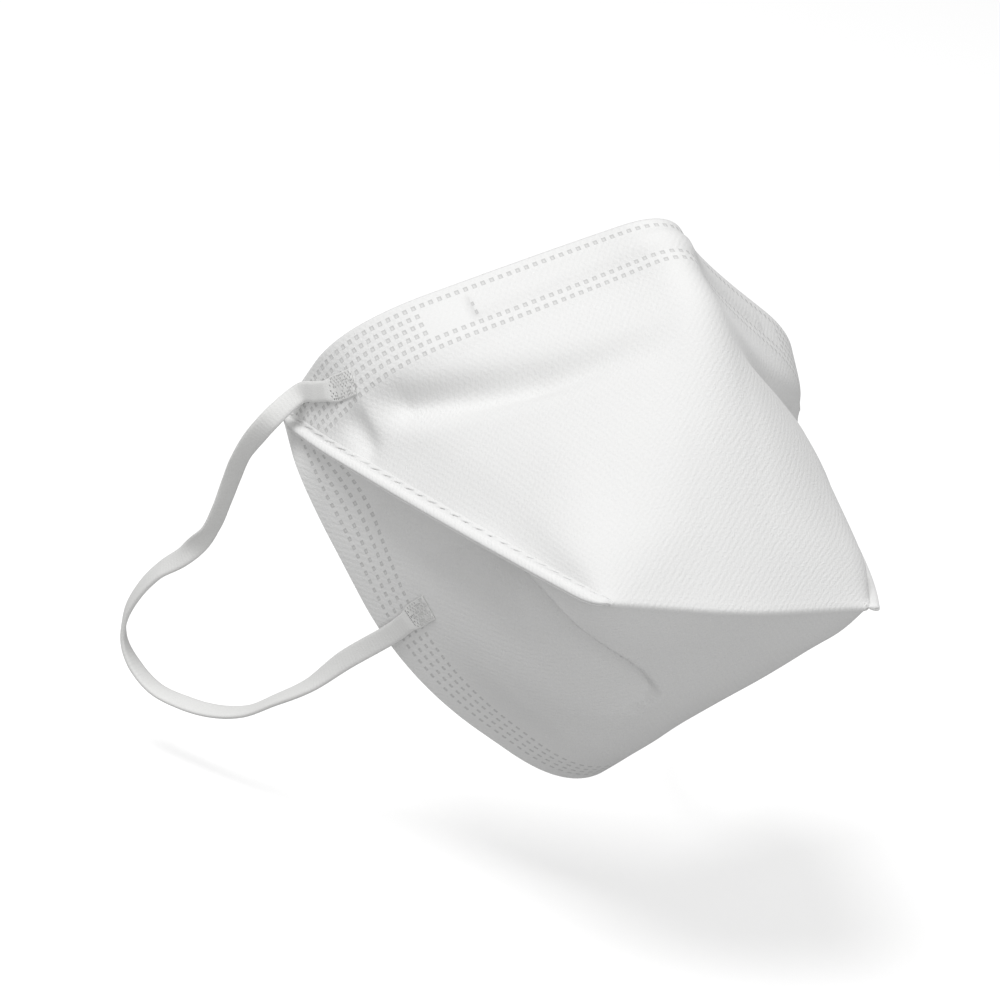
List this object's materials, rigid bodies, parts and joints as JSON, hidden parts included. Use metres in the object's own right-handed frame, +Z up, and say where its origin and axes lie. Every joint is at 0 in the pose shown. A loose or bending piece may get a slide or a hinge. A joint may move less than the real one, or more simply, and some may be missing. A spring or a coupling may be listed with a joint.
{
  "type": "disposable respirator",
  "caption": "Folding disposable respirator opened out as when worn: a peaked nonwoven pouch with welded side seams, a nose wire in its upper band and a flat ear loop on each side.",
  "frame": {"origin": "middle of the face opening, halfway between the two ear corners", "axes": "+Z up, +Y towards the face that goes in, -Y out of the mask's front fold, +X towards a viewer's right who looks at the front"},
  "size_m": [0.1546, 0.1535, 0.1465],
  "materials": {
    "cloth": "white nonwoven with a fine embossed diagonal grain",
    "elastic": "white flat knitted elastic with fine cross ribs",
    "wire": "plain soft strip"
  },
  "bodies": {
    "root": {"filter_pouch": "cloth", "nose_wire": "wire", "ear_loop_left": "elastic", "ear_loop_right": "elastic"}
  },
  "joints": []
}
